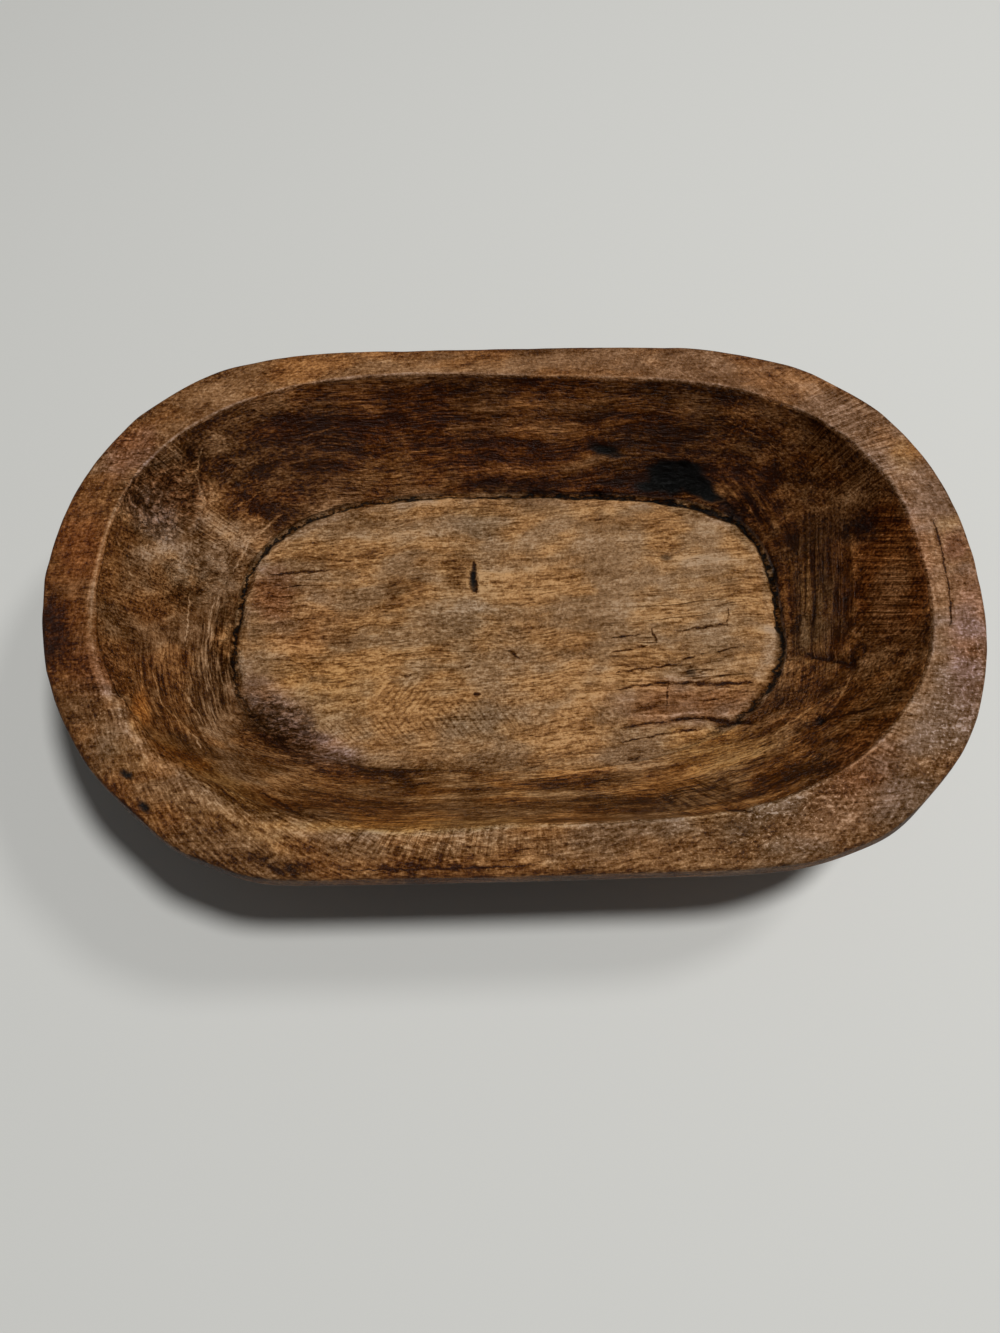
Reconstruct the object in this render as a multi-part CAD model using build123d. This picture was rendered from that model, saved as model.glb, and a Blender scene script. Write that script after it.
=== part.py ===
from build123d import *

import os
from math import cos, radians, sin

# Hand-carved wooden dough bowl: one billet, hewn in flat facets outside and gouged hollow inside.
# Millimetres. +X runs along the bowl, +Y to its back, +Z up, and the origin is the middle of the foot.

# Overall sizes of the billet
LENGTH = 229.0
WIDTH = 150.0
HEIGHT = 44.0

# The outside drops upright from the rim for a narrow band, then curves in to the foot in courses of facets.
# Each course level is a share of the height below the band, and the curve is a power: 1 is a straight slope
RIM_BAND = 4.0
FOOT_LENGTH = 150.0
FOOT_WIDTH = 92.0
HULL_LEVELS = (0.0, 0.15, 0.45, 1.0)
HULL_CURVE = 1.6
ARRIS_RADIUS = 24.0

# Corners between the hewn facets, anticlockwise from the right-hand end,
# as shares of the half length and the half width at each level
FACET_CORNERS = [
    (1.00, -0.06), (1.00, 0.15), (0.96, 0.435), (0.855, 0.72), (0.685, 0.915), (0.47, 1.00),
    (-0.14, 1.00), (-0.50, 0.975), (-0.685, 0.905), (-0.845, 0.725), (-0.96, 0.425), (-1.00, 0.14),
    (-1.00, -0.02), (-0.94, -0.38), (-0.825, -0.66), (-0.63, -0.91), (-0.465, -1.00),
    (-0.30, -1.00), (0.535, -0.955), (0.72, -0.855), (0.895, -0.59), (0.98, -0.285),
]

# Flat rim, measured inwards from the outline on each side
RIM_LEFT = 13.5
RIM_RIGHT = 12.5
RIM_BACK = 11.0
RIM_FRONT = 12.5

# Hollow: a level floor, and walls that run in from the rim by a different distance on each side
FLOOR_THICKNESS = 12.0
WALL_RUN_LEFT = 26.0
WALL_RUN_RIGHT = 28.0
WALL_RUN_BACK = 16.0
WALL_RUN_FRONT = 24.0
WALL_SCOOP = 2.0

# How square each corner is, back right, back left, front left and front right: 2 is a plain ellipse
RIM_SQUARENESS = (2.95, 2.80, 2.50, 2.50)
FLOOR_SQUARENESS = (4.0, 2.9, 3.0, 2.3)
OVAL_POINTS = 24

# Line scored round the floor by the gouge, along the back and both ends
SCORE_WIDTH = 1.6
SCORE_DEPTH = 1.0
SCORE_CLEARANCE = 0.4
SCORE_FRONT_END = -16.0

# Edges eased with a knife and by use: the lip at the rim's inner edge, its outer edge, and the foot's edge
LIP_FLARE = 1.8
LIP_DEPTH = 1.6
OUTER_EDGE_BEVEL = 1.0
FOOT_EDGE_BEVEL = 1.2


def facet_outline(length, width, height):
    """Face inside the hewn outline at one level: straight facets with a soft arris between them."""
    corners = [(x * length / 2, y * width / 2) for x, y in FACET_CORNERS]
    scale = min(length / LENGTH, width / WIDTH)
    outline = FilletPolyline(*corners, radius=ARRIS_RADIUS * scale, close=True)
    return Pos(0, 0, height) * make_face(outline)


def oval(left, right, back, front, squareness, height):
    """Face in the shape of a superellipse through four extents, with its own power in each quarter."""
    centre_x, centre_y = (left + right) / 2, (back + front) / 2
    half_x, half_y = (right - left) / 2, (back - front) / 2
    points = []
    for step in range(OVAL_POINTS):
        bearing = radians(360 * step / OVAL_POINTS)
        along, across = cos(bearing), sin(bearing)
        power = squareness[int(step * 4 / OVAL_POINTS)]
        reach = (abs(along / half_x) ** power + abs(across / half_y) ** power) ** (-1 / power)
        points.append((centre_x + reach * along, centre_y + reach * across))
    return Pos(0, 0, height) * make_face(Spline(*points, periodic=True))


def level_between(low, high, share, spread):
    """Four extents part of the way from one oval to another, spread outwards on every side."""
    signs = (-1, 1, 1, -1)
    return [a + share * (b - a) + sign * spread for a, b, sign in zip(low, high, signs)]


def hull_outline(level):
    """Hewn outline at one course, set in from the rim by more the nearer it is to the foot."""
    inset = (1 - level) ** HULL_CURVE
    length = LENGTH + inset * (FOOT_LENGTH - LENGTH)
    width = WIDTH + inset * (FOOT_WIDTH - WIDTH)
    return facet_outline(length, width, level * (HEIGHT - RIM_BAND))


# Outside of the billet: courses of hewn facets from the foot up to the rim
courses = [hull_outline(level) for level in HULL_LEVELS]
rim = facet_outline(LENGTH, WIDTH, HEIGHT)
billet = loft([*courses, rim], ruled=True)

# Hollow: throat and floor ovals with a scooped level half way up the wall, and a lip that flares to the mouth
mouth = [-LENGTH / 2 + RIM_LEFT, LENGTH / 2 - RIM_RIGHT, WIDTH / 2 - RIM_BACK, -WIDTH / 2 + RIM_FRONT]
wall_runs = [WALL_RUN_LEFT, -WALL_RUN_RIGHT, -WALL_RUN_BACK, WALL_RUN_FRONT]
floor = [edge + run for edge, run in zip(mouth, wall_runs)]
throat = level_between(mouth, mouth, 0, -LIP_FLARE)
throat_height = HEIGHT - LIP_DEPTH
middle = level_between(floor, throat, 0.5, WALL_SCOOP)
middle_squareness = [(a + b) / 2 for a, b in zip(RIM_SQUARENESS, FLOOR_SQUARENESS)]
hollow = loft([
    oval(*floor, FLOOR_SQUARENESS, FLOOR_THICKNESS),
    oval(*middle, middle_squareness, (FLOOR_THICKNESS + throat_height) / 2),
    oval(*throat, RIM_SQUARENESS, throat_height),
])
lip = loft([
    oval(*throat, RIM_SQUARENESS, throat_height),
    oval(*mouth, RIM_SQUARENESS, HEIGHT),
], ruled=True)
bowl = billet - hollow - lip

# Scored line just inside the foot of the wall, open at the front
score_outer = level_between(floor, floor, 0, -SCORE_CLEARANCE)
score_inner = level_between(floor, floor, 0, -SCORE_CLEARANCE - SCORE_WIDTH)
score_bottom = FLOOR_THICKNESS - SCORE_DEPTH
ring = oval(*score_outer, FLOOR_SQUARENESS, score_bottom) - oval(*score_inner, FLOOR_SQUARENESS, score_bottom)
front_strip = Pos(0, SCORE_FRONT_END - WIDTH / 2, score_bottom) * Rectangle(LENGTH, WIDTH)
bowl -= extrude(ring - front_strip, SCORE_DEPTH)

# Eased outer edge of the rim and edge of the foot
rim_face = bowl.faces().filter_by(Plane.XY).sort_by(Axis.Z)[-1]
bowl = chamfer(rim_face.outer_wire().edges(), OUTER_EDGE_BEVEL)
foot_face = bowl.faces().filter_by(Plane.XY).sort_by(Axis.Z)[0]
bowl = chamfer(foot_face.outer_wire().edges(), FOOT_EDGE_BEVEL)

bowl.label = "carved_bowl"
os.makedirs("parts", exist_ok=True)
export_step(bowl, "parts/carved_bowl.step")
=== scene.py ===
import bpy
import numpy as np
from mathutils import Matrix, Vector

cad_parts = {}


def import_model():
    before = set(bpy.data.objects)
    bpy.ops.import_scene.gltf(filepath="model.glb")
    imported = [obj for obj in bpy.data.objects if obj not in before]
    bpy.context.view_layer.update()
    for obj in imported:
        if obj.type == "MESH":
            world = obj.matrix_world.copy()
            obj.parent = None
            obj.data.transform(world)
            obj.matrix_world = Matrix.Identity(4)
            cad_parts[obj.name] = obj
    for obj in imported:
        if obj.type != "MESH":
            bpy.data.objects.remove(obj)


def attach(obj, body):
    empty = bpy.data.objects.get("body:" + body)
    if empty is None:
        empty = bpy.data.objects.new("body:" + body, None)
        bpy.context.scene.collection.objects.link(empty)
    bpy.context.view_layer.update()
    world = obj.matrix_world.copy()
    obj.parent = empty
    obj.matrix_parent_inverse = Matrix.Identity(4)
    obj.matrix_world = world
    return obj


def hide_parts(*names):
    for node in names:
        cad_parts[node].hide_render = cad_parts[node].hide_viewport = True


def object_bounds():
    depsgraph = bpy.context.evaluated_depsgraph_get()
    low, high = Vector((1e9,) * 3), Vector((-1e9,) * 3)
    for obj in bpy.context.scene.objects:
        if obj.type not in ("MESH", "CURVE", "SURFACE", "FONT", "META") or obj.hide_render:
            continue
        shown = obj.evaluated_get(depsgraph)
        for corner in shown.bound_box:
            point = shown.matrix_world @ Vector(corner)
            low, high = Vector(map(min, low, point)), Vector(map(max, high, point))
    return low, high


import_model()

box_at_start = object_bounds()

# The bowl's shape. One billet of wood is hewn in flat facets outside, gouged hollow inside and waxed.
# It is a single closed surface: floor, scored line, wall, lip, rim, hewn hull and foot are rows of one grid.
MM = 0.001
LENGTH, WIDTH, HEIGHT = (box_at_start[1] - box_at_start[0]) / MM
FACET_CORNERS = np.array([
    (1.00, -0.06), (1.00, 0.15), (0.96, 0.435), (0.855, 0.72), (0.685, 0.915), (0.47, 1.00),
    (-0.14, 1.00), (-0.50, 0.975), (-0.685, 0.905), (-0.845, 0.725), (-0.96, 0.425), (-1.00, 0.14),
    (-1.00, -0.02), (-0.94, -0.38), (-0.825, -0.66), (-0.63, -0.91), (-0.465, -1.00),
    (-0.30, -1.00), (0.535, -0.955), (0.72, -0.855), (0.895, -0.59), (0.98, -0.285),
])
ARRIS_SHARPNESS = 70
RIM_LEFT, RIM_RIGHT, RIM_BACK, RIM_FRONT = 13.5, 12.5, 11.0, 12.5
WALL_LEFT, WALL_RIGHT, WALL_BACK, WALL_FRONT = 26.0, 28.0, 16.0, 24.0
WALL_SCOOP = 2.0
FLOOR_TOP = 12.0
RIM_POWERS = (2.95, 2.80, 2.50, 2.50)
FLOOR_POWERS = (4.0, 2.9, 3.0, 2.3)
FOOT_LENGTH, FOOT_WIDTH = 150.0, 92.0
HULL_CURVE = 1.6
RIM_BAND = 4.0
EDGE_ROUND = 1.3
SCORE_ZONE = 4.0
AROUND = 440
FLOOR_ROWS, SCORE_ROWS, WALL_ROWS, LIP_ROWS = 64, 12, 58, 10
RIM_ROWS, EDGE_ROWS, HULL_ROWS, FOOT_ROWS = 18, 6, 36, 12

SIDES = np.array([-1, 1, 1, -1])
mouth = SIDES * np.array([LENGTH, LENGTH, WIDTH, WIDTH]) / 2
mouth = mouth - SIDES * np.array([RIM_LEFT, RIM_RIGHT, RIM_BACK, RIM_FRONT])
floor = mouth - SIDES * np.array([WALL_LEFT, WALL_RIGHT, WALL_BACK, WALL_FRONT])
floor_middle = np.repeat([(floor[0] + floor[1]) / 2, (floor[2] + floor[3]) / 2], 2)

turn = np.arange(AROUND) * 2 * np.pi / AROUND
bearing = np.arctan2(WIDTH * np.sin(turn), LENGTH * np.cos(turn)) % (2 * np.pi)


def oval(extents, powers):
    """Superellipse through four extents, with its own power p in each quarter: from the middle of the
    extents, the reach along a bearing is (|cos / half_x|^p + |sin / half_y|^p)^(-1/p)."""
    left, right, back, front = extents
    along, across = np.cos(bearing), np.sin(bearing)
    quarter = (bearing // (np.pi / 2)).astype(int) % 4
    power = np.choose(quarter, [p + 0 * left for p in powers])
    reach = np.abs(along / ((right - left) / 2)) ** power + np.abs(across / ((back - front) / 2)) ** power
    reach = reach ** (-1 / power)
    return np.stack(((left + right) / 2 + reach * along, (back + front) / 2 + reach * across), axis=-1)


def hewn_outline():
    """Polygon with soft corners: each facet's plane is one term of a power sum, so the reach along
    a bearing is (sum of (facing / distance)^sharpness)^(-1/sharpness) over the facets."""
    corners = FACET_CORNERS * np.array([LENGTH, WIDTH]) / 2
    side = np.roll(corners, -1, axis=0) - corners
    normal = np.column_stack((side[:, 1], -side[:, 0])) / np.linalg.norm(side, axis=1)[:, None]
    distance = np.sum(normal * corners, axis=1)
    ray = np.column_stack((np.cos(bearing), np.sin(bearing)))
    facing = np.clip(ray @ normal.T / distance, 0, None)
    outline = ray * (np.sum(facing ** ARRIS_SHARPNESS, axis=1) ** (-1 / ARRIS_SHARPNESS))[:, None]
    return outline / np.abs(outline).max(axis=0) * np.array([LENGTH, WIDTH]) / 2


def at_height(outline, height):
    """Outline points with their height added as a third coordinate."""
    return np.concatenate((outline, np.broadcast_to(height, outline.shape[:-1])[..., None]), axis=-1)


def by_bearing(*values):
    """Value at each bearing: straight lines between values at equal steps, anticlockwise from the right."""
    return np.interp(np.degrees(bearing), np.linspace(0, 360, len(values) + 1), (*values, values[0]))


# The mouth was cut by eye, so it strays from its oval by a millimetre or two
STRAY = by_bearing(-0.3, -1.8, 0.9, -0.2, 0.2, 1.4, 2.0, -0.1, 0.3, -1.7, 2.3, 1.3, -0.5, -0.4, 0.9, -1.4)


def wall_at(share):
    """Wall of the hollow, a share of the way from the floor up to the mouth: the extents move in a straight
    line and swell by 4 * scoop * share * (1 - share) on the way, and the mouth strays from its oval."""
    swell = 4 * WALL_SCOOP * share * (1 - share)
    extents = [f + share * (m - f) + s * swell for f, m, s in zip(floor, mouth, SIDES)]
    powers = [f + share * (m - f) for f, m in zip(FLOOR_POWERS, RIM_POWERS)]
    outline = oval(extents, powers)
    outline = outline + (share * STRAY)[..., None] * np.column_stack((np.cos(bearing), np.sin(bearing)))
    return at_height(outline, FLOOR_TOP + share * (HEIGHT - FLOOR_TOP))


def rounded(before, corner, after, rows):
    """Rows round a corner: the quadratic curve (1-t)^2 before + 2t(1-t) corner + t^2 after."""
    t = np.arange(1, rows + 1)[:, None, None] / (rows + 1)
    return (1 - t) ** 2 * before + 2 * t * (1 - t) * corner + t ** 2 * after


def steps(count):
    """Shares above 0 up to 1 in equal steps, as a column."""
    return np.arange(1, count + 1)[:, None] / count


# Lip: crisp at the right, soft and rolled at the front left, where hands have worn it most
LIP_CRISP, LIP_SOFT, LIP_LEAN = 1.3, 5.5, 0.8
SOFT_BEARING, SOFT_SPREAD = np.radians(228), np.radians(30)
lip_size = LIP_CRISP + LIP_SOFT * np.exp(-((bearing - SOFT_BEARING) / SOFT_SPREAD) ** 2)

outer = at_height(hewn_outline(), HEIGHT)
mouth_edge = wall_at(np.ones((1, AROUND)))[0]
wall_foot = wall_at(np.zeros((1, AROUND)))[0]
wall_length = np.linalg.norm(mouth_edge - wall_foot, axis=1)
rim_width = np.linalg.norm(outer - mouth_edge, axis=1)
lip_below = 1 - lip_size / wall_length
lip_above = LIP_LEAN * lip_size / rim_width
rim_end = 1 - EDGE_ROUND / rim_width

inner_floor = floor - SIDES * SCORE_ZONE
floor_extents = [m + steps(FLOOR_ROWS) * (e - m) for m, e in zip(floor_middle, inner_floor)]
floor_rows = at_height(oval(floor_extents, FLOOR_POWERS), FLOOR_TOP)
score_inset = SCORE_ZONE * (1 - steps(SCORE_ROWS))
score_extents = [e - s * score_inset for e, s in zip(floor, SIDES)]
score_rows = at_height(oval(score_extents, FLOOR_POWERS), FLOOR_TOP)
wall_share = steps(WALL_ROWS) * lip_below
wall_rows = wall_at(wall_share)


def rim_at(share):
    """Flat rim, a share of the way from the mouth to the hewn outline."""
    return mouth_edge + share[..., None] * (outer - mouth_edge)


lip_rows = rounded(wall_rows[-1], mouth_edge, rim_at(lip_above), LIP_ROWS)
rim_share = lip_above + (np.arange(RIM_ROWS) / (RIM_ROWS - 1))[:, None] * (rim_end - lip_above)
rim_rows = rim_at(rim_share)
edge_rows = rounded(rim_rows[-1], outer, outer - [0, 0, EDGE_ROUND], EDGE_ROWS)

level = 1 - np.arange(HULL_ROWS)[:, None] / (HULL_ROWS - 1)
hull_inset = (1 - level) ** HULL_CURVE
foot_shares = np.array([FOOT_LENGTH / LENGTH, FOOT_WIDTH / WIDTH])
hull_scale = 1 + hull_inset[..., None] * (foot_shares - 1)
hull_rows = at_height(outer[:, :2] * hull_scale, level * (HEIGHT - RIM_BAND))
foot_share = 1 - steps(FOOT_ROWS) * (1 - 1 / FOOT_ROWS)
foot_rows = at_height(hull_rows[-1, :, :2] * foot_share[..., None], 0.0)

blocks = [floor_rows, score_rows, wall_rows, lip_rows, rim_rows, edge_rows, hull_rows, foot_rows]
surface = np.concatenate(blocks)
zone = np.repeat(np.arange(len(blocks)), [len(block) for block in blocks])
FLOOR, SCORE, WALL, LIP, RIM, EDGE, HULL, FOOT = range(len(blocks))

# The carver's marks in the wood: gouge strokes down the wall, the scored line round the floor, a burnt pocket
# in the back wall, cracks, knots and a worn rim. Each is a depth in mm, cut along the surface's normal.
# Single marks are placed where the photograph shows them, so its camera comes first:
# the eye in millimetres, the lens in pixels.
EYE = np.array([-2.8, -127.5, HEIGHT + 208.3])
LOOK_DOWN = np.radians(63.62)
FOCAL, PHOTO_WIDTH, PHOTO_HEIGHT = 1000.0, 1000, 1333


def seen_from_camera(points):
    """Where each point falls in the photograph, in its pixels: focal length times offset over depth."""
    offset = points - EYE
    depth = offset[..., 1] * np.cos(LOOK_DOWN) - offset[..., 2] * np.sin(LOOK_DOWN)
    rise = offset[..., 1] * np.sin(LOOK_DOWN) + offset[..., 2] * np.cos(LOOK_DOWN)
    across = PHOTO_WIDTH / 2 + FOCAL * offset[..., 0] / depth
    down = PHOTO_HEIGHT / 2 - FOCAL * rise / depth
    return np.stack((across, down), axis=-1)


LATTICE = 64


def lumps(size, seed, places=surface):
    """Smooth bumps of the given size in mm, from -1 to 1: random heights on a cubic lattice, blended between
    the eight lattice points round each place with the weight 3t^2 - 2t^3."""
    heights = np.random.default_rng(seed).uniform(-1, 1, (LATTICE,) * 3)
    cell = places / np.asarray(size)
    base = np.floor(cell).astype(int)
    part = cell - base
    part = part * part * (3 - 2 * part)
    total = np.zeros(places.shape[:-1])
    for corner in np.ndindex(2, 2, 2):
        weight = np.prod(np.where(corner, part, 1 - part), axis=-1)
        total += weight * heights[tuple(np.moveaxis((base + corner) % LATTICE, -1, 0))]
    return total


def facing(points):
    """Unit normals of the grid: the cross product of the step along a row and the step to the next row."""
    down = np.gradient(points, axis=0)
    along = np.roll(points, -1, axis=1) - np.roll(points, 1, axis=1)
    normal = np.cross(down, along)
    return normal / np.linalg.norm(normal, axis=-1, keepdims=True)


def only(*zones):
    """1 on the rows of the given zones and 0 elsewhere, as a column."""
    return np.isin(zone, zones).astype(float)[:, None]


def soft_step(value, low, high):
    """0 below low, 1 above high, and 3t^2 - 2t^3 between them."""
    t = np.clip((value - low) / (high - low), 0, 1)
    return t * t * (3 - 2 * t)


seen = seen_from_camera(surface)
inside = only(FLOOR, SCORE, WALL, LIP, RIM, EDGE)
RAGGED, RAGGED_FROM = 5.0, 14.0
ragged = RAGGED * np.stack((lumps(7, 11) + lumps(2.5, 13), lumps(7, 12) + lumps(2.5, 14)), axis=-1)


def marks(spots):
    """Sum of soft oval marks on the photograph's plane, each (across, down, half width, half height, tilt in
    degrees, strength) in its pixels. A mark fades as exp(-distance^4), and lumps break up its outline,
    less on a small one."""
    total = np.zeros(seen.shape[:-1])
    for across, down, half_width, half_height, tilt, strength in spots:
        fray = min(1, min(half_width, half_height) / RAGGED_FROM)
        u, v = np.moveaxis(seen + fray * ragged, -1, 0)
        u, v = u - across, v - down
        cos, sin = np.cos(np.radians(tilt)), np.sin(np.radians(tilt))
        distance = ((u * cos + v * sin) / half_width) ** 2 + ((v * cos - u * sin) / half_height) ** 2
        total += strength * np.exp(-distance ** 2)
    return total * inside


def stroke(width, path):
    """1 on a line through the given places of the photograph, fading as exp(-(distance / width)^2)."""
    nearest = np.full(seen.shape[:-1], np.inf)
    for start, end in zip(np.array(path[:-1], float), np.array(path[1:], float)):
        share = np.clip((seen - start) @ (end - start) / np.sum((end - start) ** 2), 0, 1)
        beside = start + share[..., None] * (end - start)
        nearest = np.minimum(nearest, np.linalg.norm(seen - beside, axis=-1))
    return np.exp(-(nearest / width) ** 2) * inside


def soften(values, weight, times):
    """Each pass moves every value towards the mean of its neighbours in the rows above and below."""
    for _ in range(times):
        ends = np.concatenate((values[:1], values, values[-1:]))
        values = values + weight * ((ends[:-2] + ends[2:]) / 2 - values)
    return values


# Distance in mm from the foot of the wall: above 0 over the floor, below 0 up the wall
on_wall = np.isin(zone, (WALL, LIP))
from_wall = np.full(surface.shape[:2], SCORE_ZONE + 1)
from_wall[zone == FLOOR] = SCORE_ZONE + np.linalg.norm(floor_rows - score_rows[0], axis=-1)
from_wall[zone == SCORE] = np.broadcast_to(score_inset, (SCORE_ROWS, AROUND))
from_wall[on_wall] = -np.linalg.norm(surface[on_wall] - wall_foot, axis=-1)

# The floor sweeps up into the wall at the front, without a corner
SWEEP, SWEEP_PASSES = 9.0, 300
swept = by_bearing(0, 0, 0, 0, 0, 0.4, 1.0, 0.7)
at_front = swept * np.exp(-(from_wall / SWEEP) ** 2) * only(FLOOR, SCORE, WALL)
surface = soften(surface, at_front[..., None], SWEEP_PASSES)

climb = np.clip((surface[..., 2] - FLOOR_TOP) / (HEIGHT - FLOOR_TOP), 0, 1)

# Gouge strokes down the wall: two courses of shallow scoops with a ridge between neighbours
LANE_NARROW, LANE_WIDE, LANES_AT_MOST = 11.0, 30.0, 80
LANE_SLANT, LANE_SWAY = 6.0, 2.5
SCOOP_DEPTH = by_bearing(0.4, 0.3, 0.12, 0.35, 0.6, 0.3, 0.1, 0.3)
wall_round = np.cumsum(np.linalg.norm(mouth_edge - np.roll(mouth_edge, 1, axis=0), axis=1))


def scoops(seed):
    """Shallow lanes of uneven width round the wall: each is a parabola, deepest in its middle."""
    once_round = wall_round[-1]
    edges = np.cumsum(np.random.default_rng(seed).uniform(LANE_NARROW, LANE_WIDE, LANES_AT_MOST))
    edges = edges[edges < once_round - LANE_WIDE]
    edges = np.concatenate(([edges[-1] - once_round], edges, [edges[0] + once_round]))
    drift = wall_round + LANE_SLANT * (climb - 0.5) + LANE_SWAY * lumps(16, seed)
    lane = np.clip(np.searchsorted(edges, drift, side="right") - 1, 0, len(edges) - 2)
    across = (drift - edges[lane]) / (edges[lane + 1] - edges[lane])
    return 1 - (2 * np.clip(across, 0, 1) - 1) ** 2


upper_course = soft_step(climb + 0.14 * lumps(13, 21), 0.46, 0.53)
wall_fade = soft_step(climb, 0.0, 0.08) * only(WALL, LIP) * soft_step(1 - climb, 0.0, 0.05)
carve = -SCOOP_DEPTH * (upper_course * scoops(22) + (1 - upper_course) * scoops(23)) * wall_fade
carve += (0.45 * lumps(24, 1) + 0.16 * lumps(7, 2)) * wall_fade

# Floor: nearly level, a little wavy along the grain
carve += (0.22 * lumps((50, 14, 14), 3) + 0.06 * lumps((14, 4, 4), 4)) * only(FLOOR, SCORE)

# Scored line round the floor: deepest at both ends, shallow along the back, gone at the front
GROOVE_INSET, GROOVE_WIDTH, GROOVE_DEPTH = 0.6, 0.9, 1.3
groove_strength = by_bearing(1.2, 1.2, 0.7, 0.7, 0.75, 0.12, 0.0, 0.12)
groove_strength = groove_strength * (1 + 0.35 * lumps(9, 44)[0])
groove_drift = 0.7 * lumps(6, 5) + 0.3 * lumps(2, 6)
scored = np.exp(-((from_wall - GROOVE_INSET + groove_drift) / GROOVE_WIDTH) ** 2) * groove_strength
carve -= GROOVE_DEPTH * scored * (1 + 0.35 * lumps(2.5, 7))

# Striations: a narrow gouge pushed round the foot of the wall at both ends left ridges side by side
UNWRAPPED_RADIUS = 80.0
step_out = np.linalg.norm(np.diff(surface, axis=0, prepend=surface[:1]), axis=-1)
across, along = UNWRAPPED_RADIUS * np.cos(turn), UNWRAPPED_RADIUS * np.sin(turn)
unwrapped = np.stack(np.broadcast_arrays(across, along, np.cumsum(step_out, axis=0)), axis=-1)
striated = np.clip(marks([
    (752, 505, 40, 16, 42, 0.8), (222, 650, 22, 66, 4, 0.9), (180, 690, 46, 60, -25, 0.6),
    (790, 690, 24, 40, 35, 0.6),
]), 0, 1)
RIDGE_LONG, RIDGE_APART, RIDGE_HIGH = 34.0, 2.6, 0.45
carve += RIDGE_HIGH * striated * lumps((RIDGE_LONG, RIDGE_LONG, RIDGE_APART), 24, unwrapped)

# At the right-hand end they run straight: upright in the photograph at the wall's foot, level further up
UPRIGHT_LONG, UPRIGHT_APART = 150.0, 10.0
upright = np.clip(marks([(817, 596, 34, 78, 0, 1.0)]), 0, 1)
sideways = np.clip(marks([(893, 580, 38, 84, 0, 1.0)]), 0, 1)
on_photo = np.concatenate((seen, np.zeros((*seen.shape[:2], 1))), axis=-1)
carve += RIDGE_HIGH * upright * lumps((UPRIGHT_APART, UPRIGHT_LONG, 1), 52, on_photo)

# Torn grain: crumbled wood at the left end, beside the groove at the right, and in the burnt pocket
TORN_BY_GROOVE = 0.3
torn = marks([
    (160, 497, 42, 38, -30, 1.0), (196, 470, 18, 30, 10, 0.6), (190, 580, 36, 26, 0, 0.35),
    (806, 585, 30, 75, 0, 0.25), (748, 512, 34, 16, 40, 0.8), (676, 477, 33, 18, 0, 1.0),
    (280, 724, 44, 24, 35, 0.8), (853, 532, 20, 16, 0, 0.5), (815, 712, 24, 12, -30, 0.4),
    (230, 640, 14, 60, 5, 0.45), (500, 486, 50, 11, 0, 0.4), (700, 800, 60, 12, -6, 0.35),
])
torn = np.clip(torn + TORN_BY_GROOVE * scored, 0, 1)
carve -= torn * (0.40 + 0.50 * lumps(3.3, 8) + 0.35 * lumps(1.6, 51) + 0.30 * lumps(5, 9))

# Single cuts: the burnt pocket, the nick in the floor, knots in the rim and holes in the wall
carve -= marks([
    (670, 476, 24, 9, -8, 1.4), (684, 484, 24, 8, 6, 1.2), (500, 487, 46, 8, 0, 0.4),
    (608, 452, 20, 5, 20, 0.5), (818, 720, 7, 5, 0, 1.2), (118, 691, 6, 7, 0, 0.5),
    (132, 711, 7, 7, 0, 0.6), (126, 774, 8, 5, 30, 0.5), (144, 806, 8, 5, 30, 0.5),
    (474, 578, 4, 14, 0, 0.9), (692, 673, 9, 6, 0, 0.35), (666, 557, 7, 5, 0, 0.35),
    (826, 684, 32, 22, -25, 0.8), (853, 531, 16, 6, 0, 0.5), (237, 485, 5, 3, 0, 0.5),
    (288, 866, 46, 8, 8, 0.4), (817, 600, 36, 74, 0, 0.9),
])
CUTS = [
    (3.0, 0.6, [(625, 726), (646, 722), (705, 720), (723, 722), (750, 722)]),
    (3.0, 0.5, [(700, 684), (755, 684)]),
    (4.5, 0.6, [(256, 786), (279, 803), (300, 810)]),
    (4.5, 0.5, [(278, 742), (326, 755), (393, 772), (412, 784)]),
    (4.0, 0.8, [(803, 653), (825, 656), (850, 662)]),
    (2.5, 0.3, [(934, 521), (945, 565), (952, 592), (951, 624)]),
    (4.0, 0.6, [(726, 806), (752, 810)]),
    (4.0, 0.5, [(366, 823), (402, 826)]),
]
for width, depth, path in CUTS:
    carve -= depth * stroke(width, path)

# Ridges that the gouge left standing between its strokes
RIDGES = [
    (4.0, 0.9, [(203, 446), (195, 476), (203, 503), (192, 532)]),
    (5.0, 0.4, [(250, 505), (228, 540), (222, 580)]),
    (5.0, 0.3, [(160, 560), (175, 600), (168, 650)]),
    (4.0, 0.4, [(153, 668), (162, 704), (203, 747)]),
    (5.0, 0.5, [(850, 515), (855, 600), (848, 655)]),
    (4.0, 0.6, [(712, 477), (757, 515), (775, 556)]),
    (4.0, 0.5, [(722, 472), (768, 512), (786, 556)]),
    (5.0, 0.4, [(776, 735), (812, 706), (850, 672)]),
    (4.0, 0.3, [(280, 470), (330, 452), (400, 440)]),
]
for width, rise, path in RIDGES:
    carve += rise * stroke(width, path) * (0.7 + 0.6 * lumps(4, 18))

# Rim: never raised above the billet's top, with soft hollows, small dents and a worn inner corner
rim_dip = 0.30 + 0.26 * lumps(22, 15) + 0.14 * lumps(6, 16) + 0.05 * lumps(2.5, 17)
rim_dip = np.clip(rim_dip, 0, None)
carve -= rim_dip * only(RIM, EDGE)
carve -= rim_dip * soft_step(climb, 0.95, 1.0) * only(LIP)

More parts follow.
